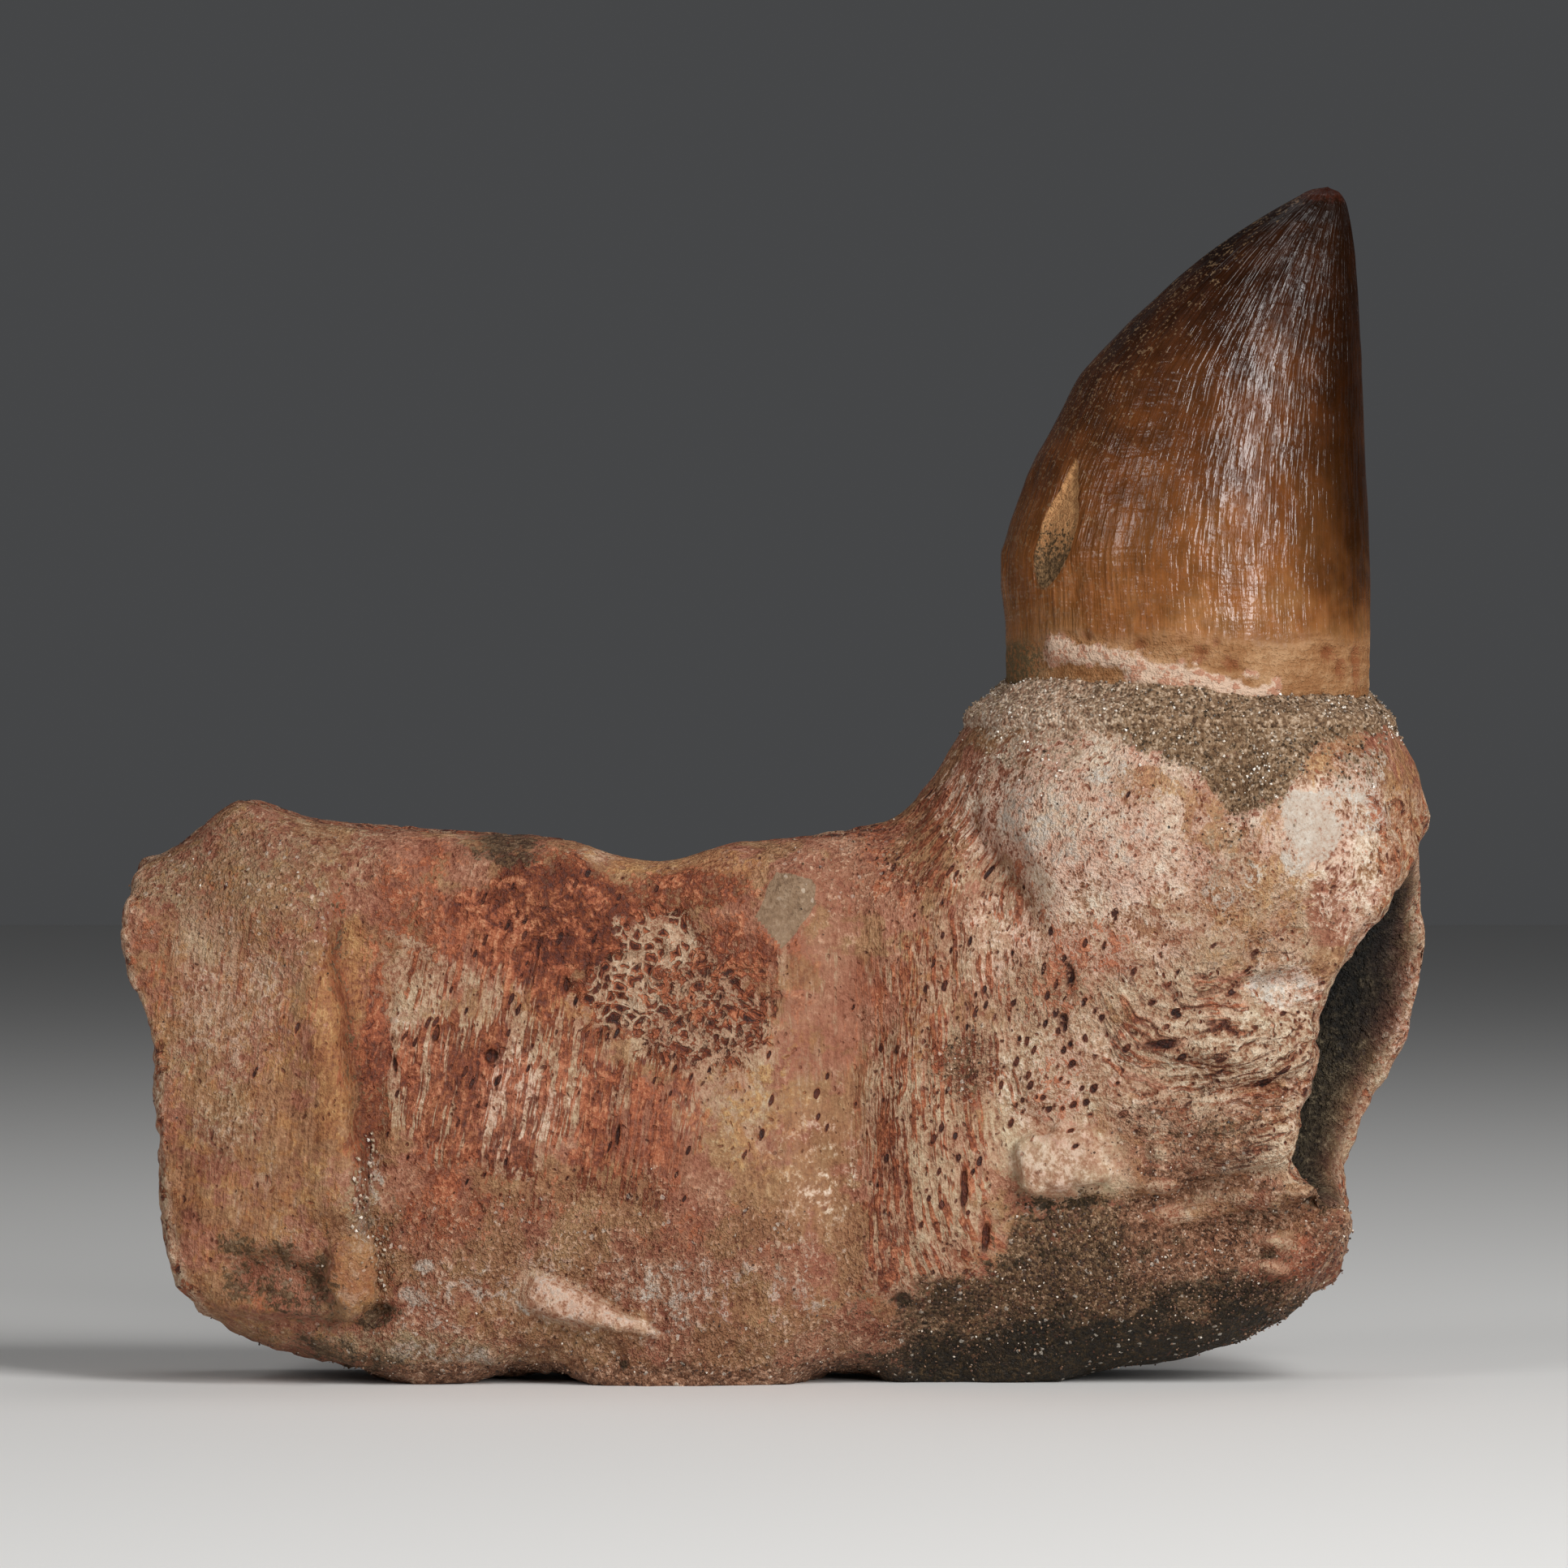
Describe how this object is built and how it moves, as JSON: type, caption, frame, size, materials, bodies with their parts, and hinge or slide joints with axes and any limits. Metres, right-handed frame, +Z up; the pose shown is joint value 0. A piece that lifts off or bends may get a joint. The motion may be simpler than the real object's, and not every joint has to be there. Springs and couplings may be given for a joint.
{
  "type": "fossil jaw section with tooth",
  "caption": "Fossil marine reptile jaw section standing on its broken edge, with a tall curved tooth on a swollen bony foot, sandy matrix at its neck and an empty socket.",
  "frame": {"origin": "on the surface the fossil stands on, under the middle of its bounding box", "axes": "+X along the jaw towards the tooth and the empty socket, -Y out of the outer face shown in the picture, +Z up towards the tooth's tip"},
  "size_m": [0.1399, 0.0413, 0.1279],
  "materials": {
    "fossil_bone": "matte, granular, stained bone",
    "tooth_enamel": "glossy brown enamel",
    "sandy_matrix": "gritty cemented sand"
  },
  "bodies": {
    "root": {"jaw_bone": "fossil_bone", "tooth_crown": "tooth_enamel", "matrix_collar": "sandy_matrix"}
  },
  "joints": []
}
